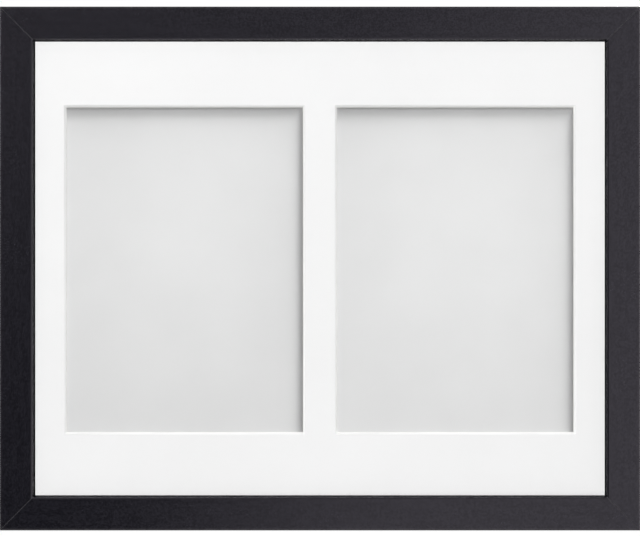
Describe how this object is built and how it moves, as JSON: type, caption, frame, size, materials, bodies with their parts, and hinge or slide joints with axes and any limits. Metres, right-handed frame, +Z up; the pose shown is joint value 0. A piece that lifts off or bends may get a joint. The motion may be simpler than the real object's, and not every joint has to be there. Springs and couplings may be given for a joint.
{
  "type": "collage picture frame",
  "caption": "Landscape picture frame with a slim black mitred moulding and a white bevelled mount that holds upright prints side by side.",
  "frame": {"origin": "middle of the bottom rail's underside, halfway through the moulding's depth", "axes": "front faces -Y, +X is the viewer's right along the frame's width, +Z is up"},
  "size_m": [0.384, 0.0185, 0.314],
  "materials": {
    "moulding": "satin black wrap on wood, bare at the back",
    "nail_steel": "bright rolled steel",
    "glass": "clear picture glass",
    "mount_board": "white surfaced board with a white core",
    "print_paper": "blank pale grey satin paper",
    "gummed_paper": "gummed paper",
    "plain_card": "plain uncoated card",
    "fibreboard": "pressed brown fibreboard",
    "plated_sheet": "nickel plated pressed sheet",
    "plated_screw": "zinc plated",
    "plated_wire": "nickel plated wire",
    "rubber": "matt black rubber"
  },
  "bodies": {
    "frame": {"top_rail": "moulding", "bottom_rail": "moulding", "left_rail": "moulding", "right_rail": "moulding", "v_nails": "nail_steel", "glazing": "glass", "window_mount": "mount_board", "left_print": "print_paper", "right_print": "print_paper", "print_hinges": "gummed_paper", "undermount": "plain_card", "backing_board": "fibreboard", "button_screws": "plated_screw", "left_hanger_strap": "plated_sheet", "right_hanger_strap": "plated_sheet", "hanger_screws": "plated_screw", "wall_bumpers": "rubber"},
    "top_left_button": {"top_left_turn_button": "plated_sheet"},
    "top_right_button": {"top_right_turn_button": "plated_sheet"},
    "bottom_left_button": {"bottom_left_turn_button": "plated_sheet"},
    "bottom_right_button": {"bottom_right_turn_button": "plated_sheet"},
    "left_upper_button": {"left_upper_turn_button": "plated_sheet"},
    "left_lower_button": {"left_lower_turn_button": "plated_sheet"},
    "right_upper_button": {"right_upper_turn_button": "plated_sheet"},
    "right_lower_button": {"right_lower_turn_button": "plated_sheet"},
    "left_ring": {"left_d_ring": "plated_wire"},
    "right_ring": {"right_d_ring": "plated_wire"}
  },
  "joints": [
    {"name": "top_left_button_turn", "type": "hinge", "parent": "frame", "child": "top_left_button", "pos_m": [-0.096, 0.0076, 0.3073], "axis": [0, 1, 0], "continuous": true},
    {"name": "top_right_button_turn", "type": "hinge", "parent": "frame", "child": "top_right_button", "pos_m": [0.096, 0.0076, 0.3073], "axis": [0, 1, 0], "continuous": true},
    {"name": "bottom_left_button_turn", "type": "hinge", "parent": "frame", "child": "bottom_left_button", "pos_m": [-0.096, 0.0076, 0.0067], "axis": [0, 1, 0], "continuous": true},
    {"name": "bottom_right_button_turn", "type": "hinge", "parent": "frame", "child": "bottom_right_button", "pos_m": [0.096, 0.0076, 0.0067], "axis": [0, 1, 0], "continuous": true},
    {"name": "left_upper_button_turn", "type": "hinge", "parent": "frame", "child": "left_upper_button", "pos_m": [-0.1853, 0.0076, 0.21195], "axis": [0, 1, 0], "continuous": true},
    {"name": "left_lower_button_turn", "type": "hinge", "parent": "frame", "child": "left_lower_button", "pos_m": [-0.1853, 0.0076, 0.10205], "axis": [0, 1, 0], "continuous": true},
    {"name": "right_upper_button_turn", "type": "hinge", "parent": "frame", "child": "right_upper_button", "pos_m": [0.1853, 0.0076, 0.21195], "axis": [0, 1, 0], "continuous": true},
    {"name": "right_lower_button_turn", "type": "hinge", "parent": "frame", "child": "right_lower_button", "pos_m": [0.1853, 0.0076, 0.10205], "axis": [0, 1, 0], "continuous": true},
    {"name": "left_ring_swing", "type": "hinge", "parent": "frame", "child": "left_ring", "pos_m": [-0.184, 0.00908, 0.262], "axis": [1, 0, 0], "range_deg": [0, 180]},
    {"name": "right_ring_swing", "type": "hinge", "parent": "frame", "child": "right_ring", "pos_m": [0.184, 0.00908, 0.262], "axis": [1, 0, 0], "range_deg": [0, 180]}
  ]
}
